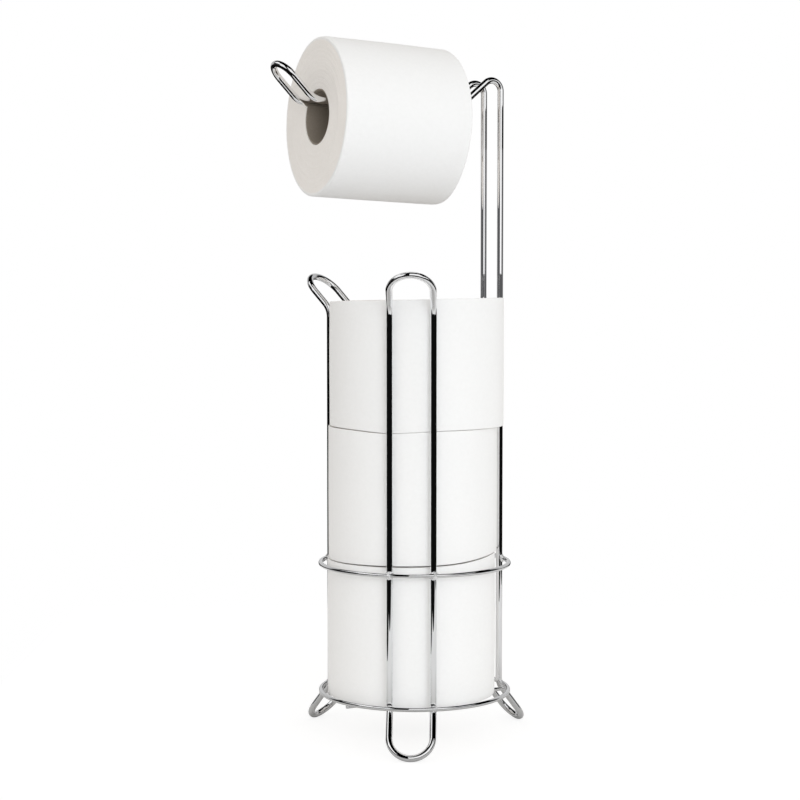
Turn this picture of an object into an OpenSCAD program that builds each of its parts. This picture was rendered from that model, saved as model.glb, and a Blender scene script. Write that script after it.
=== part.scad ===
// Free-standing toilet roll holder made of bent and welded wire. Three closed wire loops carry
// two rings: two short loops are the front and rear legs, and a tall one is the post, which
// bends over at the top into an arm. The basket between the loops stores three rolls, and a
// fourth roll hangs on the arm. The origin is on the floor at the basket's axis, +Z is up, the
// post stands at +X and the arm points to -X.

/* [Wire] */
// Diameter of the wire of the legs, the post and the arm
wire_d = 5; // [4:0.25:6]
// Diameter of the wire of the two rings
ring_wire_d = 3.5; // [3:0.25:4.5]
// Diameter of the two straight wires of the basket's floor
floor_wire_d = 3; // [2.5:0.25:3.5]
// How much thinner the wire has drawn where it is bent
bend_thinning = 0.04; // [0.02:0.01:0.1]
// How far a ring is pressed into an upright wire by the weld
weld_sink = 1.4; // [0.8:0.1:1.8]
// How far the floor wires are pressed into the lower ring from below
floor_wire_sink = 0.9; // [0.5:0.1:1.2]
// How far the floor wires end inside the lower ring's outer edge
floor_wire_inset = 0.5; // [0:0.1:1.5]
// Diameter of the weld bead where a ring crosses an upright wire
ring_bead_d = 5; // [4.5:0.1:5.6]
// Diameter of the weld bead where a floor wire crosses the lower ring
floor_bead_d = 4.2; // [3.8:0.1:4.8]

/* [Stored rolls] */
// Diameter of the widest stored roll
stored_roll_d = 133; // [110:0.5:136]
// How much narrower the bottom roll is than the widest one
bottom_roll_less = 3.5; // [0:0.1:12]
// How much narrower the middle roll is
middle_roll_less = 2.5; // [0:0.1:12]
// Height of the bottom stored roll
bottom_roll_h = 102.55; // [90:0.05:115]
// Height of the middle stored roll
middle_roll_h = 102.7; // [90:0.1:115]
// Height of the top stored roll
top_roll_h = 97.3; // [90:0.1:115]
// Free space between the widest stored roll and the upright wires
roll_room = 0.9; // [0.5:0.1:4]
// Air between one stored roll and what it lies on
roll_rest_gap = 0.3; // [0.2:0.05:0.6]
// Air between each stored roll and the round of the wires, on the side where it leans
roll_side_gap = 0.3; // [0.2:0.05:0.4]
// Side on which the bottom roll leans, as an azimuth
bottom_roll_lean = 152; // [0:1:359]
// Side on which the middle roll leans
middle_roll_lean = 180; // [0:1:359]
// Side on which the top roll leans
top_roll_lean = 332; // [0:1:359]

/* [Hanging roll] */
// Diameter of the roll in use on the arm
hanging_roll_d = 118.6; // [80:0.2:130]
// Width of the roll in use
hanging_roll_w = 100.3; // [90:0.1:115]
// Air between the roll's core and the arm's wires
hanging_gap = 0.3; // [0.2:0.05:0.6]

/* [Cores and paper edges] */
// Inner diameter of the cardboard cores
core_d = 39.2; // [36:0.2:45]
// Wall of the cardboard cores
core_wall = 1.2; // [0.8:0.1:2]
// How far the cores end inside the paper at each face
core_inset = 0.6; // [0.2:0.1:2]
// Radius of the rounded outer edges of the paper
paper_edge_r = 2.5; // [1:0.25:5]

/* [Legs] */
// Distance between the centre lines of a leg's two wires
leg_w = 32.3; // [26:0.1:38]
// How far the centre line of a leg's top stands above the stored rolls
leg_rise = 18.3; // [14:0.1:40]
// How far a leg's top leans out
flare_reach = 25.5; // [22:0.5:32]
// Slope of a leg's top, from upright
flare_angle = 48; // [35:1:60]
// Centre line radius of the bend below a leg's top
flare_bend_r = 12; // [8:0.5:16]
// How far each foot reaches out
foot_reach = 25; // [22:0.5:32]
// Slope of the feet, from upright
foot_angle = 44; // [35:1:55]
// Centre line radius of the bend above each foot
foot_bend_r = 9; // [7:0.5:12]

/* [Rings] */
// Distance from the feet's bends to the lower ring above them
ring_lift = 0.25; // [0:0.05:3]
// Distance between the two rings
ring_spacing = 99.5; // [70:0.5:200]
// Distance between the two floor wires
floor_wire_spacing = 46; // [44:0.5:70]

/* [Post and arm] */
// Distance between the centre lines of the post's two wires
post_w = 25.5; // [18:0.1:28]
// Free height between the stored rolls and the hanging roll
lift_room = 74; // [30:0.5:120]
// Height of the post's top above the arm, between centre lines
peak_rise = 25.3; // [18:0.1:50]
// Centre line radius of the bend at the top of the post
peak_bend_r = 8; // [6:0.25:12]
// Slope of the stretch from the post's top down to the arm
drop_angle = 40; // [30:1:60]
// Centre line radius of the bend between that stretch and the arm
dip_bend_r = 10; // [7:0.5:14]
// Slope of the arm up to its tip
arm_slope = 2.2; // [0:0.1:5]
// Free stretch of straight arm at each end of the roll
arm_end_gap = 4.6; // [2:0.1:20]
// Slope of the arm's upturned tip
tip_angle = 46; // [30:1:60]
// Centre line radius of the bend at the tip
tip_bend_r = 10; // [7:0.5:14]
// Length of the upturned tip, from the corner to the end of its centre line
tip_len = 36; // [30:0.5:60]

/* [Hidden] */
$fn = 96;

chrome_colour = [0.78, 0.79, 0.81];
weld_colour = [0.88, 0.88, 0.89];
paper_colour = [0.95, 0.95, 0.94];
core_colour = [0.63, 0.56, 0.48];

// How far a bend's ends lie inside the straight stretches that it joins
bend_lap = 0.3;

// Azimuths of the three uprights around the basket's axis
post_azimuth = 0;
rear_azimuth = 120;
front_azimuth = 240;

// The stored rolls are of one make. The top one is the widest, and the others are wound tighter.
top_roll_d = stored_roll_d;
middle_roll_d = stored_roll_d - middle_roll_less;
bottom_roll_d = stored_roll_d - bottom_roll_less;

// The basket is drawn around its widest roll: the upright wires stand round that roll, and the
// rings run round the outside of the wires, sunk into them by the welds
basket_r = stored_roll_d / 2 + roll_room;
upright_r = basket_r + wire_d / 2;
ring_r = upright_r + wire_d / 2 - weld_sink + ring_wire_d / 2;
ring_bead_r = upright_r + (wire_d - weld_sink) / 2;
// Distance from the axis to the plane of a loop's two wires, which both touch the circle upright_r
function loop_r(width) = sqrt(pow(upright_r, 2) - pow(width / 2, 2));
leg_r = loop_r(leg_w);
post_r = loop_r(post_w);
// Half the angle between a loop's two wires, seen from the axis
function half_spread(width) = asin(width / 2 / upright_r);

// Heights from the floor up
foot_corner_z = wire_d / 2 + foot_reach / tan(foot_angle);
lower_ring_z = foot_corner_z + foot_bend_r * tan(foot_angle / 2) + ring_lift + ring_wire_d / 2;
middle_ring_z = lower_ring_z + ring_spacing;
// The floor wires run under the lower ring, so the bottom roll stands down between its wires
floor_wire_z = lower_ring_z - (ring_wire_d + floor_wire_d) / 2 + floor_wire_sink;
bottom_roll_z = floor_wire_z + floor_wire_d / 2 + roll_rest_gap;
middle_roll_z = bottom_roll_z + bottom_roll_h + roll_rest_gap;
top_roll_z = middle_roll_z + middle_roll_h + roll_rest_gap;
stack_top_z = top_roll_z + top_roll_h;
leg_top_z = stack_top_z + leg_rise;
flare_corner_z = leg_top_z - flare_reach / tan(flare_angle);

// The hanging roll's core rests on both of the arm's wires, so its axis lies this far below them
hang = sqrt(pow(core_d / 2 - wire_d / 2 - hanging_gap, 2) - pow(post_w / 2, 2));
// Height of the arm's centre line where it crosses the basket's axis
arm_z = stack_top_z + lift_room + hanging_roll_d / 2 + hang;
function arm_height(x) = arm_z - x * tan(arm_slope);
peak_z = arm_z + peak_rise;
peak_turn = 90 + drop_angle;
peak_corner_z = peak_z - peak_bend_r + peak_bend_r * tan(peak_turn / 2);
// The dip is where the slope down from the post's top meets the line of the arm
dip_x = post_r - (peak_corner_z - arm_height(post_r)) / (tan(drop_angle) + tan(arm_slope));
dip_cut = dip_bend_r * tan((drop_angle + arm_slope) / 2);
tip_cut = tip_bend_r * tan((tip_angle - arm_slope) / 2);
roll_far_x = dip_x - (dip_cut + arm_end_gap) * cos(arm_slope);
tip_x = roll_far_x - (hanging_roll_w + arm_end_gap + tip_cut) * cos(arm_slope);
// The end of the roll nearer the post, on the roll's own axis
roll_far_end = [roll_far_x - hang * sin(arm_slope), arm_height(roll_far_x) - hang * cos(arm_slope)];

// Floor wires: half their distance, half their length, and where they cross the ring
floor_wire_y = floor_wire_spacing / 2;
floor_wire_half = sqrt(pow(ring_r + ring_wire_d / 2 - floor_wire_inset, 2) - pow(floor_wire_y, 2));
floor_bead_x = sqrt(pow(ring_r, 2) - pow(floor_wire_y, 2));
floor_bead_z = floor_wire_z + (floor_wire_d - floor_wire_sink) / 2;

// Side views of the loops as corner points [out, up], from the foot's round end to the other
// one. Each round end is a half circle as wide as the loop, so the corners stop half a width
// short of it. Every inner corner is rounded by the radius in the second list.
function foot_tip(width) = [foot_reach - width / 2 * sin(foot_angle),
                            wire_d / 2 + width / 2 * cos(foot_angle)];
leg_line = [[leg_r, 0] + foot_tip(leg_w),
            [leg_r, foot_corner_z],
            [leg_r, flare_corner_z],
            [leg_r + flare_reach - leg_w / 2 * sin(flare_angle),
             leg_top_z - leg_w / 2 * cos(flare_angle)]];
leg_radii = [0, foot_bend_r, flare_bend_r, 0];
tip_run = tip_len - post_w / 2;
post_line = [[post_r, 0] + foot_tip(post_w),
             [post_r, foot_corner_z],
             [post_r, peak_corner_z],
             [dip_x, arm_height(dip_x)],
             [tip_x, arm_height(tip_x)],
             [tip_x - tip_run * cos(tip_angle), arm_height(tip_x) + tip_run * sin(tip_angle)]];
post_radii = [0, foot_bend_r, peak_bend_r, dip_bend_r, tip_bend_r, 0];

// Geometry of a line of corners: direction of a stretch, turn and side of a corner, and how
// much of a stretch the rounding takes
function heading(line, i) = (line[i + 1] - line[i]) / norm(line[i + 1] - line[i]);
function turn(line, i) = acos(heading(line, i - 1) * heading(line, i));
function side(line, i) = sign(cross(heading(line, i - 1), heading(line, i)));
function left_of(v) = [-v.y, v.x];
function cut(line, radii, i) = radii[i] == 0 ? 0 : radii[i] * tan(turn(line, i) / 2);

// A straight stretch of wire between two points of a side view
module straight(from, to) {
    run = to - from;
    translate([from.x, 0, from.y]) rotate([0, atan2(run.x, run.y), 0]) cylinder(d = wire_d, h = norm(run));
}

// A bent piece of wire in the XY plane, from +X round to the given angle. The wire is a little
// thinner here, and both ends run on into the straight stretches by the lap.
module wire_arc(radius, angle) {
    lap = bend_lap / radius * 180 / PI;
    rotate([0, 0, -lap]) rotate_extrude(angle = angle + 2 * lap)
        translate([radius, 0]) circle(d = wire_d - bend_thinning);
}

// The bend at one corner of a side view
module bend(line, radii, i) {
    towards = heading(line, i - 1);
    out = -side(line, i) * left_of(towards);
    centre = line[i] - cut(line, radii, i) * towards - radii[i] * out;
    start = atan2(out.y, out.x) - (side(line, i) < 0 ? turn(line, i) : 0);
    translate([centre.x, 0, centre.y]) rotate([90, 0, 0]) rotate([0, 0, start])
        wire_arc(radii[i], turn(line, i));
}

// The half circle that joins a loop's two wires at an end of its side view
module round_end(point, out, width) {
    translate([point.x, 0, point.y]) rotate([0, atan2(out.y, -out.x), 0]) rotate([0, 0, 90])
        wire_arc(width / 2, 180);
}

// A closed loop of wire: the side view drawn twice, side by side, with a round end at both ends
module wire_loop(line, radii, width) {
    last = len(line) - 1;
    for (y = [-width / 2, width / 2]) translate([0, y, 0]) {
        for (i = [0 : last - 1])
            straight(line[i] + cut(line, radii, i) * heading(line, i),
                     line[i + 1] - cut(line, radii, i + 1) * heading(line, i));
        for (i = [1 : last - 1]) bend(line, radii, i);
    }
    round_end(line[0], -heading(line, 0), width);
    round_end(line[last], heading(line, last - 1), width);
}

module front_leg() {
    color(chrome_colour) rotate([0, 0, front_azimuth]) wire_loop(leg_line, leg_radii, leg_w);
}

module rear_leg() {
    color(chrome_colour) rotate([0, 0, rear_azimuth]) wire_loop(leg_line, leg_radii, leg_w);
}

module post_and_arm() {
    color(chrome_colour) rotate([0, 0, post_azimuth]) wire_loop(post_line, post_radii, post_w);
}

// A ring of wire round the basket
module basket_ring(height) {
    color(chrome_colour) translate([0, 0, height])
        rotate_extrude() translate([ring_r, 0]) circle(d = ring_wire_d);
}

module middle_ring() basket_ring(middle_ring_z);

module lower_ring() basket_ring(lower_ring_z);

// A straight wire across the underside of the lower ring, which carries the rolls
module floor_wire(y) {
    color(chrome_colour) translate([-floor_wire_half, y, floor_wire_z])
        rotate([0, 90, 0]) cylinder(d = floor_wire_d, h = 2 * floor_wire_half);
}

module left_floor_wire() floor_wire(-floor_wire_y);

module right_floor_wire() floor_wire(floor_wire_y);

// One weld bead on each of the six upright wires, where a ring crosses them
module ring_welds(height) {
    uprights = [[post_azimuth, post_w], [rear_azimuth, leg_w], [front_azimuth, leg_w]];
    color(weld_colour) for (upright = uprights, way = [-1, 1])
        rotate([0, 0, upright[0] + way * half_spread(upright[1])])
            translate([ring_bead_r, 0, height]) sphere(d = ring_bead_d);
}

module middle_ring_welds() ring_welds(middle_ring_z);

module lower_ring_welds() ring_welds(lower_ring_z);

module floor_wire_welds() {
    color(weld_colour) for (x = [-floor_bead_x, floor_bead_x], y = [-floor_wire_y, floor_wire_y])
        translate([x, y, floor_bead_z]) sphere(d = floor_bead_d);
}

// A roll's wound paper, standing on z = 0 with its outer edges rounded, round the bore of its core
module roll_paper(diameter, height) {
    r = diameter / 2;
    edge = paper_edge_r;
    color(paper_colour) difference() {
        union() {
            cylinder(r = r - edge, h = height);
            translate([0, 0, edge]) cylinder(r = r, h = height - 2 * edge);
            for (z = [edge, height - edge]) translate([0, 0, z])
                rotate_extrude() translate([r - edge, 0]) circle(r = edge);
        }
        translate([0, 0, -1]) cylinder(r = core_d / 2 + core_wall, h = height + 2);
    }
}

// The cardboard tube inside a roll, a little shorter than the paper
module roll_core(height) {
    color(core_colour) translate([0, 0, core_inset]) difference() {
        cylinder(r = core_d / 2 + core_wall, h = height - 2 * core_inset);
        translate([0, 0, -1]) cylinder(d = core_d, h = height - 2 * core_inset + 2);
    }
}

// Lays a roll along the arm, with its z = 0 face towards the post
module on_arm() {
    translate([roll_far_end.x, 0, roll_far_end.y]) rotate([0, arm_slope - 90, 0]) children();
}

// Stands a roll loosely in the basket: it has slid off the axis to one side, as far as the wires let it
module in_basket(diameter, height, lean) {
    slid = basket_r - diameter / 2 - roll_side_gap;
    translate([slid * cos(lean), slid * sin(lean), height]) children();
}

module at_bottom() in_basket(bottom_roll_d, bottom_roll_z, bottom_roll_lean) children();

module in_middle() in_basket(middle_roll_d, middle_roll_z, middle_roll_lean) children();

module on_top() in_basket(top_roll_d, top_roll_z, top_roll_lean) children();

module bottom_roll_paper() at_bottom() roll_paper(bottom_roll_d, bottom_roll_h);

module bottom_roll_core() at_bottom() roll_core(bottom_roll_h);

module middle_roll_paper() in_middle() roll_paper(middle_roll_d, middle_roll_h);

module middle_roll_core() in_middle() roll_core(middle_roll_h);

module top_roll_paper() on_top() roll_paper(top_roll_d, top_roll_h);

module top_roll_core() on_top() roll_core(top_roll_h);

module hanging_roll_paper() on_arm() roll_paper(hanging_roll_d, hanging_roll_w);

module hanging_roll_core() on_arm() roll_core(hanging_roll_w);

front_leg();
rear_leg();
post_and_arm();
middle_ring();
lower_ring();
left_floor_wire();
right_floor_wire();
middle_ring_welds();
lower_ring_welds();
floor_wire_welds();
bottom_roll_paper();
bottom_roll_core();
middle_roll_paper();
middle_roll_core();
top_roll_paper();
top_roll_core();
hanging_roll_paper();
hanging_roll_core();
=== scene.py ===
import math

import bpy
from mathutils import Matrix, Vector, noise


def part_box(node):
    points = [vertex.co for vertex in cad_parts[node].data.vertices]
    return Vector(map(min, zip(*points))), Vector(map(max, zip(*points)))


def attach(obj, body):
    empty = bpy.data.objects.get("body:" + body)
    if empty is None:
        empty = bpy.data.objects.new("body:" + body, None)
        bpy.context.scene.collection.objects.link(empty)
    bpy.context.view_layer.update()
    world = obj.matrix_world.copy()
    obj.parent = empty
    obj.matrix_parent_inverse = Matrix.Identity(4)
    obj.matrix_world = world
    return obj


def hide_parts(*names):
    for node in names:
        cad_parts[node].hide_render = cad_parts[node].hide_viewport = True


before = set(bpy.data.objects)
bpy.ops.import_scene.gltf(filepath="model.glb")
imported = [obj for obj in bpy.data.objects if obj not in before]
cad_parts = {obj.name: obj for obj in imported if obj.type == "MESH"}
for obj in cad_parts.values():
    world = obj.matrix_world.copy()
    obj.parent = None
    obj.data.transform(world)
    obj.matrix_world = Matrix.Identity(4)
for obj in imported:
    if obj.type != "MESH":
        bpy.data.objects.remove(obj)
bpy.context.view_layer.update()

# Front and rear leg. Each is one closed loop of 5 mm steel wire: a foot that spreads to the
# floor, two uprights and a top that leans out, so that rolls drop in easily. The wire is bent
# round dies, butt-welded into a loop and chrome-plated.
MM = 0.001
WIRE_R = 2.5 * MM
UP = Vector((0, 0, 1))
LEG_W = 32.3 * MM
UPRIGHT_R = 69.9 * MM
FOOT_REACH = 25 * MM
FOOT_ANGLE = math.radians(38.5)
FOOT_BEND_R = 14 * MM
FLARE_REACH = 25.5 * MM
FLARE_ANGLE = math.radians(45)
FLARE_BEND_R = 15 * MM
LEG_TOP_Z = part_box("front_leg")[1].z - WIRE_R
FRONT, REAR, POST = math.radians(240), math.radians(120), 0.0
GUARD = 0.2 * MM
MERGE = 0.01 * MM


class BentWire:
    """A wire bent as on a bench: its section is extruded along straights and spun round bends."""

    def __init__(self, name, radius, start, heading, sides=32):
        bpy.ops.object.select_all(action="DESELECT")
        square_to = heading.to_track_quat("Z", "Y").to_euler()
        bpy.ops.mesh.primitive_circle_add(vertices=sides, radius=radius,
                                          location=start, rotation=square_to)
        self.piece = bpy.context.object
        self.piece.name = name
        bpy.ops.object.transform_apply()
        bpy.ops.object.mode_set(mode="EDIT")
        bpy.ops.mesh.select_all(action="SELECT")
        self.at, self.heading = start.copy(), heading.copy()

    def straight(self, length):
        """Extrudes a straight. A short guard at each end keeps the shading of the bends off it."""
        for part in (GUARD, length - 2 * GUARD, GUARD):
            step = self.heading * part
            bpy.ops.mesh.extrude_region_move(TRANSFORM_OT_translate={"value": step})
            self.at += step

    def bend(self, towards, radius, angle, per_step=math.radians(5)):
        """Bends the wire by an angle towards a direction square to it."""
        centre = self.at + towards * radius
        axis = self.heading.cross(towards)
        steps = max(2, math.ceil(angle / per_step))
        bpy.ops.mesh.spin(steps=steps, angle=-angle, center=centre, axis=axis,
                          use_auto_merge=False)
        turned = Matrix.Rotation(angle, 3, axis)
        self.at = centre + turned @ (self.at - centre)
        self.heading = turned @ self.heading

    def bend_to(self, heading, radius):
        towards = (heading - self.heading * heading.dot(self.heading)).normalized()
        self.bend(towards, radius, self.heading.angle(heading))

    def finish(self):
        bpy.ops.mesh.select_all(action="SELECT")
        bpy.ops.mesh.remove_doubles(threshold=MERGE)
        bpy.ops.mesh.normals_make_consistent(inside=False)
        bpy.ops.object.mode_set(mode="OBJECT")
        bpy.ops.object.shade_smooth()
        return self.piece


def wire_loop(name, corners, radii, width, azimuth):
    """Bends a closed loop: its side view [(out, up), ...] there and back, and a half circle
    at each end."""
    out = Vector((math.cos(azimuth), math.sin(azimuth), 0))
    across = UP.cross(out)
    points = [out * x + UP * z for x, z in corners]
    headings = [(b - a).normalized() for a, b in zip(points, points[1:])]
    turns = [0] + [a.angle(b) for a, b in zip(headings, headings[1:])] + [0]
    cuts = [radius * math.tan(turn / 2) for radius, turn in zip(radii, turns)]
    runs = [(b - a).length - cut_a - cut_b
            for a, b, cut_a, cut_b in zip(points, points[1:], cuts, cuts[1:])]
    wire = BentWire(name, WIRE_R, points[0] - across * width / 2, headings[0])
    last = len(runs) - 1
    for way in (1, -1):
        order = range(last + 1)[::way]
        for i in order:
            wire.straight(runs[i])
            if i != order[-1]:
                corner = i + 1 if way == 1 else i
                wire.bend_to(way * headings[i + way], radii[corner])
        wire.bend(across * way, width / 2, math.pi)
    return wire.finish()


def loop_r(width):
    """Distance from the axis to the plane of a loop, whose two wires stand at UPRIGHT_R."""
    return math.sqrt(UPRIGHT_R ** 2 - (width / 2) ** 2)


def foot_corners(width):
    """The foot's tip and its upper corner. The half circle at the tip reaches on to the floor."""
    r = loop_r(width)
    tip = (r + FOOT_REACH - width / 2 * math.sin(FOOT_ANGLE),
           WIRE_R + width / 2 * math.cos(FOOT_ANGLE))
    return [tip, (r, WIRE_R + FOOT_REACH / math.tan(FOOT_ANGLE))]


flare_tip = (loop_r(LEG_W) + FLARE_REACH - LEG_W / 2 * math.sin(FLARE_ANGLE),
             LEG_TOP_Z - LEG_W / 2 * math.cos(FLARE_ANGLE))
flare_corner = (loop_r(LEG_W), LEG_TOP_Z - FLARE_REACH / math.tan(FLARE_ANGLE))
leg_corners = foot_corners(LEG_W) + [flare_corner, flare_tip]
leg_radii = [0, FOOT_BEND_R, FLARE_BEND_R, 0]


class Value:
    """A value in a material's node tree. Sums and products of values add Math nodes."""

    def __init__(self, tree, socket):
        self.tree = tree
        self.socket = socket

    @classmethod
    def add(cls, tree, kind, settings=None, sockets=None, output=0):
        """Adds any node: its settings first, then the values or links of its sockets."""
        node = tree.nodes.new("ShaderNode" + kind)
        for key, setting in (settings or {}).items():
            if key == "stops":
                ramp = node.color_ramp
                while len(ramp.elements) < len(setting):
                    ramp.elements.new(1)
                for stop, (place, shade) in zip(ramp.elements, setting):
                    stop.position = place
                    stop.color = (shade, shade, shade, 1)
            else:
                setattr(node, key, setting)
        for key, value in (sockets or {}).items():
            if isinstance(value, Value):
                tree.links.new(value.socket, node.inputs[key])
            else:
                node.inputs[key].default_value = value
        return cls(tree, node.outputs[output] if node.outputs else None)

    def maths(self, operation, *others):
        sockets = dict(enumerate((self, *others)))
        return Value.add(self.tree, "Math", {"operation": operation}, sockets)

    def clamped(self):
        return self.maths("MINIMUM", 1.0).maths("MAXIMUM", 0.0)

    def __add__(self, other):
        return self.maths("ADD", other)

    def __sub__(self, other):
        return self.maths("SUBTRACT", other)

    def __rsub__(self, other):
        return Value.add(self.tree, "Math", {"operation": "SUBTRACT"}, {0: other, 1: self})

    def __mul__(self, other):
        return self.maths("MULTIPLY", other)

    def __truediv__(self, other):
        return self.maths("DIVIDE", other)

    __radd__ = __add__
    __rmul__ = __mul__


def new_material(name):
    """An empty material: itself, its shader node and the piece's own coordinates."""
    made = bpy.data.materials.new(name)
    made.use_nodes = True
    place = Value.add(made.node_tree, "TexCoord", output="Object")
    return made, made.node_tree.nodes["Principled BSDF"], place


def link(value, node, socket):
    value.tree.links.new(value.socket, node.inputs[socket])


def link_bump(height, shader, strength, depth):
    """Turns a height into the shader's normal. depth is how far a height of 1 stands out."""
    sockets = {"Strength": strength, "Distance": depth, "Height": height}
    link(Value.add(height.tree, "Bump", sockets=sockets, output="Normal"), shader, "Normal")


def fine_noise(place, size, detail=2.0):
    sockets = {"Vector": place, "Scale": 1 / size, "Detail": detail}
    return Value.add(place.tree, "TexNoise", sockets=sockets, output="Fac")


def blend_colours(fac, first, second):
    sockets = {"Factor": fac, 6: first, 7: second}
    return Value.add(fac.tree, "Mix", {"data_type": "RGBA"}, sockets, output=2)


CHROME_BRIGHT = (0.93, 0.935, 0.94, 1)
CHROME_DULL = (0.84, 0.84, 0.85, 1)
HAZE_SIZE = 30 * MM
HAZE_DEPTH = 0.02
DIMPLE_DEPTH = 0.05 * MM


def chrome(name, polish, dimple, dimple_size, metallic=1.0):
    """Chrome plating: a mirror with a faint haze and the slight unevenness of its steel."""
    made, shader, place = new_material(name)
    haze = fine_noise(place, HAZE_SIZE)
    shader.inputs["Metallic"].default_value = metallic
    link(blend_colours(haze, CHROME_DULL, CHROME_BRIGHT), shader, "Base Color")
    link(haze * HAZE_DEPTH + polish, shader, "Roughness")
    link_bump(fine_noise(place, dimple_size, detail=1.0), shader, dimple, DIMPLE_DEPTH)
    return made


wire_chrome = chrome("wire chrome", polish=0.01, dimple=0.02, dimple_size=30 * MM)
weld_chrome = chrome("weld chrome", polish=0.02, dimple=0.4, dimple_size=1.6 * MM, metallic=0.7)


def dress(piece, material, body, slot, *nodes):
    """Gives a piece its material, the body it rides on and the CAD nodes that it stands for."""
    piece.data.materials.clear()
    piece.data.materials.append(material)
    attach(piece, body)
    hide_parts(*nodes)


for name, azimuth in (("front_leg", FRONT), ("rear_leg", REAR)):
    leg = wire_loop(name + "_wire", leg_corners, leg_radii, LEG_W, azimuth)
    dress(leg, wire_chrome, "stand", "chrome_wire", name)

# Post and arm. The third loop is the tall one. It rises behind the rolls, bends over at the top,
# dips and runs out as a straight arm with an upturned tip that keeps the roll from sliding off.
POST_W = 25.5 * MM
PEAK_BEND_R = 8 * MM
DROP_ANGLE = math.radians(40)
DIP_BEND_R = 10 * MM
ARM_SLOPE = math.radians(2.2)
TIP_ANGLE = math.radians(46)
TIP_BEND_R = 18 * MM
TIP_LEN = 36 * MM
TIP_X = -90.839 * MM
DIP_X = 26.453 * MM
PEAK_RISE = 25.3 * MM
tip_corner_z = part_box("post_and_arm")[1].z - WIRE_R - TIP_LEN * math.sin(TIP_ANGLE)


def arm_point(x):
    """A point of the arm's straight line, which rises to the tip."""
    return x, tip_corner_z - (x - TIP_X) * math.tan(ARM_SLOPE)


peak_z = arm_point(0)[1] + PEAK_RISE
peak_turn = math.pi / 2 + DROP_ANGLE
peak_corner = (loop_r(POST_W), peak_z - PEAK_BEND_R + PEAK_BEND_R * math.tan(peak_turn / 2))
tip_corner = arm_point(TIP_X)
tip_run = TIP_LEN - POST_W / 2
tip_end = (TIP_X - tip_run * math.cos(TIP_ANGLE),
           tip_corner_z + tip_run * math.sin(TIP_ANGLE))
post_corners = foot_corners(POST_W) + [peak_corner, arm_point(DIP_X), tip_corner, tip_end]
post_radii = [0, FOOT_BEND_R, PEAK_BEND_R, DIP_BEND_R, TIP_BEND_R, 0]
post = wire_loop("post_and_arm_wire", post_corners, post_radii, POST_W, POST)
dress(post, wire_chrome, "stand", "chrome_wire", "post_and_arm")

# Rings. Two hoops of thinner wire run round the outside of the six uprights. They are rolled
# from straight wire, butt-welded and spot-welded to each upright.
RING_WIRE_R = 1.75 * MM
THIN_SIDES = 24
RING_STEP = math.radians(2.5)


def centre_of(node):
    low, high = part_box(node)
    return (low + high) / 2


for name in ("middle_ring", "lower_ring"):
    centre = centre_of(name)
    ring_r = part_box(name)[1].x - RING_WIRE_R
    ring = BentWire(name + "_wire", RING_WIRE_R, centre + Vector((ring_r, 0, 0)),
                    Vector((0, 1, 0)), sides=THIN_SIDES)
    ring.bend(Vector((-1, 0, 0)), ring_r, 2 * math.pi, per_step=RING_STEP)
    dress(ring.finish(), wire_chrome, "stand", "chrome_wire", name)

# Floor wires. Two straight wires cross the underside of the lower ring and carry the rolls.
# They are spot-welded to the ring, and their cut ends are slightly rounded.
FLOOR_WIRE_R = 1.5 * MM
ROUNDED_END = 0.3 * MM


def apply_modifier(piece, kind, **settings):
    """Puts a modifier on the active piece and applies it."""
    modifier = piece.modifiers.new(kind, kind)
    for key, setting in settings.items():
        setattr(modifier, key, setting)
    bpy.ops.object.modifier_apply(modifier=modifier.name)


for name in ("left_floor_wire", "right_floor_wire"):
    low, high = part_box(name)
    start = Vector((low.x, centre_of(name).y, centre_of(name).z))
    length = high.x - low.x
    rod = BentWire(name + "_rod", FLOOR_WIRE_R, start, Vector((1, 0, 0)), sides=THIN_SIDES)
    bpy.ops.mesh.edge_face_add()
    bpy.ops.mesh.extrude_region_move(TRANSFORM_OT_translate={"value": (length, 0, 0)})
    rod_piece = rod.finish()
    apply_modifier(rod_piece, "BEVEL", width=ROUNDED_END, segments=2, limit_method="ANGLE")
    bpy.ops.object.shade_smooth_by_angle(angle=math.radians(50))
    dress(rod_piece, wire_chrome, "stand", "chrome_wire", name)

# Weld beads. Where a ring crosses an upright, the spot weld leaves a small uneven lump of metal,
# with a fillet above and below the ring. Smaller ones hold the floor wires. All are plated over.
LUMPS = [((0, 0, 0), (2.35, 2.75, 2.55)), ((1.25, 0.2, -0.3), (2.0, 2.2, 2.05)),
         ((0.4, 0.2, 2.0), (1.5, 1.9, 1.35)), ((0.4, -0.2, -2.1), (1.5, 2.0, 1.3)),
         ((-0.3, 1.7, 1.6), (1.4, 1.4, 1.4)), ((-0.3, -1.6, 1.7), (1.4, 1.5, 1.3)),
         ((-0.3, 1.6, -1.7), (1.4, 1.4, 1.4)), ((-0.3, -1.7, -1.6), (1.4, 1.5, 1.4)),
         ((0.7, 2.8, 0), (1.6, 1.6, 1.9)), ((0.7, -2.8, 0.1), (1.6, 1.5, 1.9))]
LUMP_SHIFT = 0.45
MELT_GRAIN = 0.26 * MM
RIPPLE_SIZE = 1.2 * MM
RIPPLE_DEPTH = 0.18
RING_BEAD_SIZES = {"middle_ring": 1.0, "lower_ring": 0.86}
FLOOR_BEAD_SIZE = 0.52
FLOOR_BEAD_LIFT = 0.5 * MM
BEAD_R = UPRIGHT_R + 1.7 * MM
BEAD_SEED = 1795621739
# Unseeded, noise_vector draws by the clock, and each run would give other beads
noise.seed_set(BEAD_SEED)


def select(*pieces):
    bpy.ops.object.select_all(action="DESELECT")
    for piece in pieces:
        piece.select_set(True)
    bpy.context.view_layer.objects.active = pieces[0]


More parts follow.
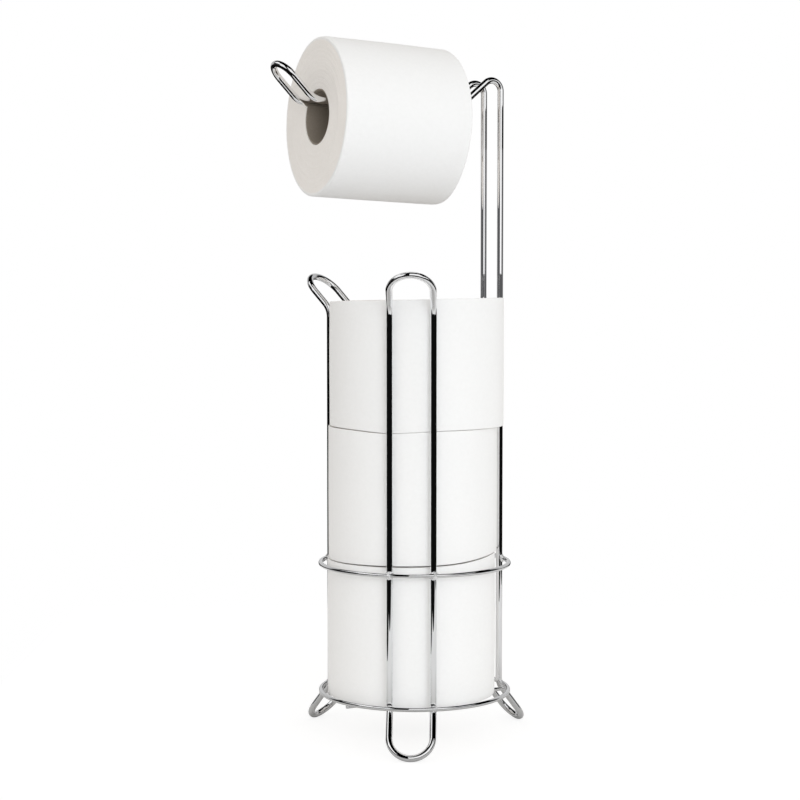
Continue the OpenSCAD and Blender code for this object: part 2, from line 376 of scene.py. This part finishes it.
def bead(seed, size):
    """One weld bead round the origin, facing +X: lumps melted into one, with an uneven skin.
    LUMPS gives each lump's place and radii in millimetres, as LUMP_SHIFT and RIPPLE_DEPTH are."""
    parts = []
    for number, (centre, radii) in enumerate(LUMPS):
        shift = noise.noise_vector(Vector((seed, number * 1.9, 0.5))) * LUMP_SHIFT * MM * size
        place = Vector(centre) * MM * size + shift
        bpy.ops.mesh.primitive_ico_sphere_add(subdivisions=3, radius=MM * size, location=place,
                                              scale=radii)
        parts.append(bpy.context.object)
    select(*parts)
    bpy.ops.object.join()
    lump = bpy.context.object
    bpy.ops.object.transform_apply()
    apply_modifier(lump, "REMESH", mode="VOXEL", voxel_size=MELT_GRAIN)
    apply_modifier(lump, "SMOOTH", factor=0.5, iterations=4)
    for vertex in lump.data.vertices:
        ripple = noise.noise(vertex.co / RIPPLE_SIZE + Vector((seed, 0, 0)))
        vertex.co += vertex.normal * ripple * RIPPLE_DEPTH * MM
    bpy.ops.object.shade_smooth()
    return lump


def weld(name, places, size, node):
    """One piece of several beads, each at a place (azimuth it faces, position)."""
    made = []
    for number, (azimuth, position) in enumerate(places):
        one = bead(number * 3.7 + 1, size)
        one.data.transform(Matrix.Translation(position) @ Matrix.Rotation(azimuth, 4, "Z"))
        made.append(one)
    select(*made)
    bpy.ops.object.join()
    joined = bpy.context.object
    joined.name = name
    dress(joined, weld_chrome, "stand", "chrome_weld", node)


def half_spread(width):
    return math.asin(width / 2 / UPRIGHT_R)


LOOPS = ((POST, POST_W), (REAR, LEG_W), (FRONT, LEG_W))
upright_azimuths = [azimuth + way * half_spread(width)
                    for azimuth, width in LOOPS for way in (-1, 1)]
for ring, size in RING_BEAD_SIZES.items():
    height = centre_of(ring).z
    places = [(a, Vector((BEAD_R * math.cos(a), BEAD_R * math.sin(a), height)))
              for a in upright_azimuths]
    weld(ring + "_beads", places, size, ring + "_welds")

low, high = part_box("floor_wire_welds")
floor_bead_r = (high.z - low.z) / 2
floor_bead_z = low.z + floor_bead_r + FLOOR_BEAD_LIFT
places = [(0 if x > 0 else math.pi, Vector((x, y, floor_bead_z)))
          for x in (low.x + floor_bead_r, high.x - floor_bead_r)
          for y in (low.y + floor_bead_r, high.y - floor_bead_r)]
weld("floor_wire_beads", places, FLOOR_BEAD_SIZE, "floor_wire_welds")

# Paper of the rolls. A long soft sheet is wound in one spiral round each core, so the two end
# faces show the edges of its turns and the outside ends in the sheet's cut edge. The paper is
# white tissue with a fine crepe. Each roll has its own soft dents, and its rims are bent a little.
SHEET = 0.45 * MM
CORE_R = 20.8 * MM
WIND_STEPS = 120
SIDE_ROWS = 16
EDGE_STEPS = 6
VALLEY = 0.08 * MM
NEARLY_ROUND = 2 * math.pi * 0.9999
PAST_THE_END = 1.00005
SHEET_MERGE = 0.002 * MM


def wound_roll(name, diameter, height, edge_r, start, shape):
    """Winds a roll that stands on z = 0: a side view is spun round once, then every point moves
    out by one sheet over the turn, so that each turn runs into the next. start is the azimuth of
    the sheet's end, and shape moves a point (radius, azimuth, height) to its place on the soft
    roll."""
    outer = diameter / 2 - SHEET / 2
    turns = int((outer - edge_r - CORE_R) / SHEET)
    inner = outer - edge_r - turns * SHEET
    face = [(inner + (k + half / 2) * SHEET, VALLEY * (1 - half))
            for k in range(turns) for half in (0, 1)]
    corner = [(outer - edge_r * (1 - math.sin(t)), edge_r * (1 - math.cos(t)))
              for t in [math.radians(90 * i / EDGE_STEPS) for i in range(EDGE_STEPS + 1)]]
    side = [(outer, edge_r + (height - 2 * edge_r) * i / SIDE_ROWS) for i in range(1, SIDE_ROWS)]
    lower = face + corner
    profile = lower + side + [(r, height - z) for r, z in reversed(lower)]
    mesh = bpy.data.meshes.new(name)
    count = len(profile)
    edges = [(i, (i + 1) % count) for i in range(count)]
    mesh.from_pydata([(r, 0, z) for r, z in profile], edges, [])
    roll = bpy.data.objects.new(name, mesh)
    bpy.context.scene.collection.objects.link(roll)
    select(roll)
    bpy.ops.object.mode_set(mode="EDIT")
    bpy.ops.mesh.select_all(action="SELECT")
    bpy.ops.mesh.spin(steps=WIND_STEPS, angle=-NEARLY_ROUND, center=(0, 0, 0),
                      axis=(0, 0, 1), use_auto_merge=False)
    bpy.ops.object.mode_set(mode="OBJECT")
    for vertex in mesh.vertices:
        x, y, z = vertex.co
        turned = math.atan2(y, x) % (2 * math.pi) / NEARLY_ROUND
        if turned > PAST_THE_END:
            turned = 0.0
        r = math.hypot(x, y) + SHEET * (turned - 0.5)
        vertex.co = shape(r, start + turned * 2 * math.pi, z)
    bpy.ops.object.mode_set(mode="EDIT")
    bpy.ops.mesh.select_all(action="SELECT")
    bpy.ops.mesh.remove_doubles(threshold=SHEET_MERGE)
    bpy.ops.mesh.select_all(action="DESELECT")
    bpy.ops.mesh.select_mode(type="EDGE")
    bpy.ops.mesh.select_non_manifold()
    bpy.ops.mesh.fill_holes(sides=0)
    bpy.ops.mesh.select_all(action="SELECT")
    bpy.ops.mesh.normals_make_consistent(inside=False)
    bpy.ops.mesh.select_mode(type="VERT")
    bpy.ops.object.mode_set(mode="OBJECT")
    bpy.ops.object.shade_smooth_by_angle(angle=math.radians(40))
    return roll


def lobes(azimuth, terms):
    """A sum of smooth swellings round the roll, each (its middle in degrees, how narrow it is,
    its amount)."""
    return sum(amount * ((1 + math.cos(azimuth - math.radians(middle))) / 2) ** narrow
               for middle, narrow, amount in terms)


TURN_GRAIN = 2.2 * MM
SIDE_GRAIN = 45 * MM
TURN_STEP = 0.12
FACE_SWELL = 0.25
RIM_SINK = 0.12
SIDE_SWELL = 0.22
BELLY = 0.2


def soft_shape(diameter, height, seed, side=(), low_face=(), high_face=()):
    """How one roll departs from a true cylinder. The lobes are of the side outward, and of the
    two faces' rims up. Slow random swellings and uneven turns come on top. All amounts are in
    millimetres."""
    radius = diameter / 2

    def shape(r, azimuth, z):
        share = max(0.0, (r - CORE_R) / (radius - CORE_R))
        round_place = Vector((math.cos(azimuth), math.sin(azimuth), 0))
        level = 2 * z / height - 1
        way = -1 if level < 0 else 1
        by_face = abs(level) ** 8
        uneven = noise.noise(Vector((r / TURN_GRAIN, seed * 5 + way, 0)) + round_place * 0.6)
        slow = noise.noise(round_place * 1.1 + Vector((seed * 3 + way, share * 1.5, 0)))
        rim = lobes(azimuth, high_face if way > 0 else low_face)
        face = TURN_STEP * uneven + FACE_SWELL * slow * share - RIM_SINK * share ** 6
        new_z = z + way * by_face * MM * face + rim * MM * share ** 2 * level ** 2
        swell = SIDE_SWELL * noise.noise(round_place * 1.4 + Vector((0, seed * 7, z / SIDE_GRAIN)))
        swell += BELLY * (1 - level ** 2) + lobes(azimuth, side)
        r += swell * MM * share ** 3
        return Vector((r * math.cos(azimuth), r * math.sin(azimuth), new_z))

    return shape


PAPER_WHITE = (0.92, 0.92, 0.918, 1)
PAPER_SHADE = (0.875, 0.875, 0.872, 1)
# The end faces are coloured warmer and darker than the side, as painted warm bounce light and
# painted shade; the darker colour is painted shade in the grooves between the sheet's turns
FACE_WARM_BOUNCE = (0.93, 0.905, 0.875, 1)
FACE_GROOVE_PAINTED_SHADE = (0.85, 0.81, 0.77, 1)
CREPE_SIZE = 0.7 * MM
CREPE_SQUASH = 0.12
CREPE_DEPTH = 0.06 * MM
TISSUE_FIBRE = 2.6 * MM
FACE_FADE = 1.5 * MM


def mapping(place, **sockets):
    return Value.add(place.tree, "Mapping", {"vector_type": "POINT"}, {"Vector": place, **sockets})


def on_the_roll(place, to_roll):
    """The coordinates that a piece had before its roll was put in place."""
    spot, angles, _ = to_roll.decompose()
    return mapping(place, Location=spot, Rotation=angles.to_euler())


def along(place, axis):
    return Value.add(place.tree, "SeparateXYZ", sockets={"Vector": place}, output=axis)


def tissue(name, to_roll, edge_radius):
    """White tissue. Its pattern follows the roll: crepe up its side, sheet edges on its faces. The
    faces' colour is painted light: a warm painted bounce light, and painted shade that is darkest
    between the turns.
    """
    made, shader, place = new_material(name)
    on_roll = on_the_roll(place, to_roll)
    x, y = (along(on_roll, axis) for axis in "XY")
    r = (x * x + y * y).maths("SQRT")
    azimuth = y.maths("ARCTAN2", x)
    crepe = fine_noise(mapping(on_roll, Scale=(1, 1, CREPE_SQUASH)), CREPE_SIZE, detail=3.0)
    fibres = fine_noise(on_roll, TISSUE_FIBRE, detail=4.0)
    layers = (r * (2 * math.pi / (SHEET / 2)) + azimuth * 2).maths("SINE") * 0.5 + 0.5
    on_face = ((edge_radius - r) / FACE_FADE).clamped()
    paper = blend_colours(fibres, PAPER_WHITE, PAPER_SHADE)
    # Painted shade: the faces darken between the sheet's turns, and their warm tint is painted
    # bounce light
    turns = blend_colours(layers * fibres, FACE_WARM_BOUNCE, FACE_GROOVE_PAINTED_SHADE)
    link(blend_colours(on_face, paper, turns), shader, "Base Color")
    shader.inputs["Roughness"].default_value = 0.95
    shader.inputs["Specular IOR Level"].default_value = 0.15
    relief = crepe * (1 - on_face) + layers * on_face
    link_bump(relief, shader, strength=0.35, depth=CREPE_DEPTH)
    return made


def paper_of(body, roll_frame, diameter, height, edge_r, start, seed, **dents):
    """Winds one roll's paper and puts it where its CAD node is."""
    shape = soft_shape(diameter, height, seed, **dents)
    roll = wound_roll(body + "_tissue", diameter, height, edge_r, math.radians(start), shape)
    roll.data.transform(roll_frame)
    name = body.replace("_", " ") + " tissue"
    material = tissue(name, roll_frame.inverted(), diameter / 2 - edge_r)
    dress(roll, material, body, "tissue", body + "_paper")


def standing_frame(node):
    """The place of an upright piece: its axis, at the height of its lower end."""
    low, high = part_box(node)
    return Matrix.Translation(Vector(((low.x + high.x) / 2, (low.y + high.y) / 2, low.z)))


def height_of(node):
    low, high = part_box(node)
    return high.z - low.z


STORED_ROLLS = {
    "bottom_roll": {
        "diameter": 129.5 * MM, "edge_r": 0.8 * MM, "start": 75, "seed": 1,
        "side": [(152, 27, 0.6)], "low_face": [(0, 0, -1.2)],
        "high_face": [(240, 1.6, 2.7), (325, 6.2, 5.5)]},
    "middle_roll": {
        "diameter": 130.5 * MM, "edge_r": 0.5 * MM, "start": 40, "seed": 2,
        "low_face": [(240, 1.6, 3.2), (325, 6.2, 6.4)],
        "high_face": [(0, 0, 1.0), (225, 27, -1.8)]},
    "top_roll": {
        "diameter": 133 * MM, "edge_r": 0.5 * MM, "start": 85, "seed": 3,
        "side": [(318, 27, 1.9)], "low_face": [(0, 0, 0.9), (225, 27, -1.8)],
        "high_face": [(0, 0, -1.3), (310, 1, 3.2)]},
}
for body, form in STORED_ROLLS.items():
    paper_of(body, standing_frame(body + "_paper"), height=height_of(body + "_paper"), **form)

# The roll in use lies along the arm: its own z = 0 face is the one by the post
HANGING_W = 100.3 * MM
FAR_END = Vector((17.5806, 0, 469.2408)) * MM
on_arm = Matrix.Translation(FAR_END) @ Matrix.Rotation(ARM_SLOPE - math.pi / 2, 4, "Y")
paper_of("hanging_roll", on_arm, diameter=118.6 * MM, height=HANGING_W, edge_r=1.7 * MM,
         start=348, seed=9, low_face=[(185, 10, -4.0)], high_face=[(0, 0, -1.1), (275, 1, 5.2)])

# Cores of the rolls. Each is a tube wound from strips of grey board in a helix, so a fine seam
# climbs round it. The ends are cut a little short of the paper.
CORE_INNER_R = 19.6 * MM
CORE_INSET = 0.6 * MM
STRIP = 62 * MM
BOARD_LIGHT = (0.31, 0.27, 0.222, 1)
BOARD_DARK = (0.215, 0.18, 0.145, 1)
SEAM_DARK = (0.13, 0.105, 0.085, 1)
SEAM_HALF = 0.007
SOFT_END = 0.25 * MM
CORE_PLAY = 0.02 * MM
BOARD_FIBRE = 1.2 * MM
MOTTLE_SIZE = 9 * MM
BOARD_DEPTH = 0.12 * MM


def core_tube(name, height):
    """A tube that stands on z = 0, with softened ends."""
    bpy.ops.object.select_all(action="DESELECT")
    bpy.ops.mesh.primitive_cylinder_add(vertices=96, radius=CORE_R - CORE_PLAY, depth=height,
                                        location=(0, 0, height / 2), end_fill_type="NOTHING")
    tube = bpy.context.object
    tube.name = name
    bpy.ops.object.transform_apply()
    bpy.ops.object.mode_set(mode="EDIT")
    bpy.ops.mesh.select_all(action="SELECT")
    bpy.ops.mesh.subdivide(number_cuts=1)
    bpy.ops.object.mode_set(mode="OBJECT")
    apply_modifier(tube, "SOLIDIFY", thickness=CORE_R - CORE_INNER_R, offset=-1)
    apply_modifier(tube, "BEVEL", width=SOFT_END, segments=2, limit_method="ANGLE")
    bpy.ops.object.shade_smooth_by_angle(angle=math.radians(50))
    return tube


def board(name, to_roll):
    """Grey recycled board with darker fibres and the helix of its seam."""
    made, shader, place = new_material(name)
    on_roll = on_the_roll(place, to_roll)
    x, y, z = (along(on_roll, axis) for axis in "XYZ")
    climb = z / STRIP - y.maths("ARCTAN2", x) / (2 * math.pi)
    beside_seam = (climb.maths("FRACT") - 0.5).maths("ABSOLUTE")
    seam = beside_seam.maths("LESS_THAN", SEAM_HALF)
    fibres = fine_noise(on_roll, BOARD_FIBRE, detail=5.0)
    mottle = fine_noise(on_roll, MOTTLE_SIZE)
    ground = blend_colours(fibres * 0.7 + mottle * 0.3, BOARD_LIGHT, BOARD_DARK)
    link(blend_colours(seam * 0.75, ground, SEAM_DARK), shader, "Base Color")
    shader.inputs["Roughness"].default_value = 0.85
    link_bump(fibres * 0.4 - seam, shader, strength=0.5, depth=BOARD_DEPTH)
    return made


def core_of(body, roll_frame, height):
    tube = core_tube(body + "_board", height)
    tube.data.transform(roll_frame)
    material = board(body.replace("_", " ") + " board", roll_frame.inverted())
    dress(tube, material, body, "core_board", body + "_core")


for body in STORED_ROLLS:
    core_of(body, standing_frame(body + "_core"), height_of(body + "_core"))
inside = on_arm @ Matrix.Translation(Vector((0, 0, CORE_INSET)))
core_of("hanging_roll", inside, HANGING_W - 2 * CORE_INSET)

# Camera. It stands in front and to the left, about as high as the top of the stored rolls, and
# looks slightly down.
CAMERA_AT = (-0.66861, -1.24974, 0.3452)
VIEW_AZIMUTH = math.radians(-27.69)
VIEW_DROP = math.radians(3.464)
LENS = 82.7
bpy.ops.object.camera_add(location=CAMERA_AT,
                          rotation=(math.pi / 2 - VIEW_DROP, 0, VIEW_AZIMUTH))
camera = bpy.context.object
camera.data.lens = LENS
camera.data.clip_start = 0.05
camera.data.clip_end = 60
bpy.context.scene.camera = camera
towards_camera = Vector((math.sin(VIEW_AZIMUTH), -math.cos(VIEW_AZIMUTH), 0))
to_the_right = Vector((math.cos(VIEW_AZIMUTH), math.sin(VIEW_AZIMUTH), 0))

# Floor. A white table top, and beyond it the dark floor of the studio, which only the chrome and
# the undersides see. To the camera both are white. The chrome mirrors the table darker close to
# the stand, in whose shade it lies.
TABLE_SIZE = 1.12
TABLE_SHIFT = 0.2
TABLE_WHITE = 0.9
SHADED_R = 0.15
SHADE_FADE = 0.2
MIRRORED_NEAR = (0.58, 0.58, 0.58, 1)
MIRRORED_FAR = (0.86, 0.87, 0.88, 1)
SEEN_SHARE = 0.69
SEEN_GLOW = 1.15
STUDIO_SIZE = 40
STUDIO_SHADE = 0.6
STUDIO_MIRRORED = 0.004


def plain_stage(name, size, height, shift=0.0):
    """A flat square, moved to the camera's right by shift. Returns its empty material's tree."""
    bpy.ops.object.select_all(action="DESELECT")
    place = to_the_right * shift + UP * height
    bpy.ops.mesh.primitive_plane_add(size=size, location=place, rotation=(0, 0, VIEW_AZIMUTH))
    plane = bpy.context.object
    plane.name = name
    made = bpy.data.materials.new(name)
    made.use_nodes = True
    made.node_tree.nodes.clear()
    plane.data.materials.append(made)
    return made.node_tree


def light_path(tree, output):
    return Value.add(tree, "LightPath", output=output)


def end_with(shader, tree, target="OutputMaterial"):
    Value.add(tree, target, sockets={"Surface": shader})


def mix_shaders(fac, first, second):
    return Value.add(first.tree, "MixShader", sockets={0: fac, 1: first, 2: second})


def grey(shade):
    return shade, shade, shade, 1


def matt(tree, colour):
    return Value.add(tree, "BsdfDiffuse", sockets={"Color": colour})


def glow(tree, shade, strength=1.0):
    return Value.add(tree, "Emission", sockets={"Color": grey(shade), "Strength": strength})


tree = plain_stage("table", TABLE_SIZE, 0, shift=TABLE_SHIFT)
spot = Value.add(tree, "TexCoord", output="Object")
away = Value.add(tree, "VectorMath", {"operation": "DISTANCE"},
                 {0: spot, 1: (-TABLE_SHIFT, 0, 0)}, output=1)
shaded = ((away - SHADED_R) / SHADE_FADE).clamped()
mirrored_top = matt(tree, blend_colours(shaded, MIRRORED_NEAR, MIRRORED_FAR))
top = mix_shaders(light_path(tree, "Is Glossy Ray"), matt(tree, grey(TABLE_WHITE)), mirrored_top)
seen = light_path(tree, "Is Camera Ray") * SEEN_SHARE
end_with(mix_shaders(seen, top, glow(tree, 1, SEEN_GLOW)), tree)

tree = plain_stage("studio_floor", STUDIO_SIZE, -1 * MM)
dark = mix_shaders(light_path(tree, "Is Glossy Ray"), matt(tree, grey(STUDIO_SHADE)),
                   glow(tree, STUDIO_MIRRORED))
end_with(mix_shaders(light_path(tree, "Is Camera Ray"), dark, glow(tree, 1)), tree)

# Light. A broad, slightly cool key from the front right and a warmer even fill from all round
# light the paper. The chrome mirrors its own set: a dark room with a paler back and softboxes.
FILL = (1.0, 0.979, 0.95, 1)
FILL_STRENGTH = 1.32
FILL_FALL = 0.62
SIDE_WALLS = (0.11, 0.11, 0.112, 1)
BACK_STOPS = [(0.0, 0.0), (0.70, 0.0), (0.78, 0.5), (1.0, 0.6)]
HORIZON = -0.0105
BACK_TOP = 0.62
SIDE_TOP = 0.075
KEY_TINT = (0.88, 0.94, 1.0)
MIRRORED_DISTANCE = 1.6
MIRRORED_BOXES = (("right softbox", 20.5, 0.37, 2.25, 1.7),
                  ("far right softbox", 64, 0.64, 1.1, 0.85),
                  ("left softbox", -51, 0.57, 2.25, 1.23),
                  ("far left softbox", -92, 1.1, 2.6, 1.1))
world = bpy.data.worlds.new("studio")
bpy.context.scene.world = world
world.use_nodes = True
tree = world.node_tree
tree.nodes.clear()
direction = Value.add(tree, "TexCoord", output="Generated")
rise = along(direction, "Z")
behind = Value.add(tree, "VectorMath", {"operation": "DOT_PRODUCT"},
                   {0: direction, 1: -towards_camera}, output=1)
back = Value.add(tree, "ValToRGB", {"stops": BACK_STOPS}, {"Fac": behind * 0.5 + 0.5})


def background(colour, strength=1.0):
    return Value.add(tree, "Background", sockets={"Color": colour, "Strength": strength})


def up_to(top):
    """1 between the horizon and a height of the sky, and 0 elsewhere."""
    return rise.maths("GREATER_THAN", HORIZON) * rise.maths("LESS_THAN", top)


fill = background(FILL, FILL_STRENGTH * (1 - FILL_FALL * rise.maths("MAXIMUM", 0.0)))
mirrored = Value.add(tree, "AddShader", sockets={
    0: background(back, up_to(BACK_TOP)), 1: background(SIDE_WALLS, up_to(SIDE_TOP))})
backdrop = background(grey(1))
to_object = mix_shaders(light_path(tree, "Is Glossy Ray"), fill, mirrored)
end_with(mix_shaders(light_path(tree, "Is Camera Ray"), to_object, backdrop), tree, "OutputWorld")


def softbox(name, azimuth, distance, low, high, width, radiance, tint=(1, 1, 1)):
    """A soft rectangular light that faces the basket's axis. azimuth is in degrees to the
    camera's right."""
    turn = math.radians(azimuth)
    place = (towards_camera * math.cos(turn) + to_the_right * math.sin(turn)) * distance
    place.z = (low + high) / 2
    aim = Vector((0, 0, place.z)) - place
    bpy.ops.object.light_add(type="AREA", location=place,
                             rotation=aim.to_track_quat("-Z", "Y").to_euler())
    lamp = bpy.context.object
    lamp.name = name
    lamp.data.shape = "RECTANGLE"
    lamp.data.size = width
    lamp.data.size_y = high - low
    lamp.data.energy = radiance * math.pi * width * (high - low)
    lamp.data.color = tint
    lamp.visible_camera = False
    return lamp


key = softbox("key", azimuth=20, distance=1.7, low=0.05, high=1.05, width=1.2, radiance=2.32,
              tint=KEY_TINT)
key.visible_glossy = False
for name, azimuth, low, high, width in MIRRORED_BOXES:
    box = softbox(name, azimuth, MIRRORED_DISTANCE, low, high, width, radiance=1.0)
    box.visible_diffuse = False

# Output. Colours are shown as they are.
bpy.context.scene.view_settings.view_transform = "Standard"
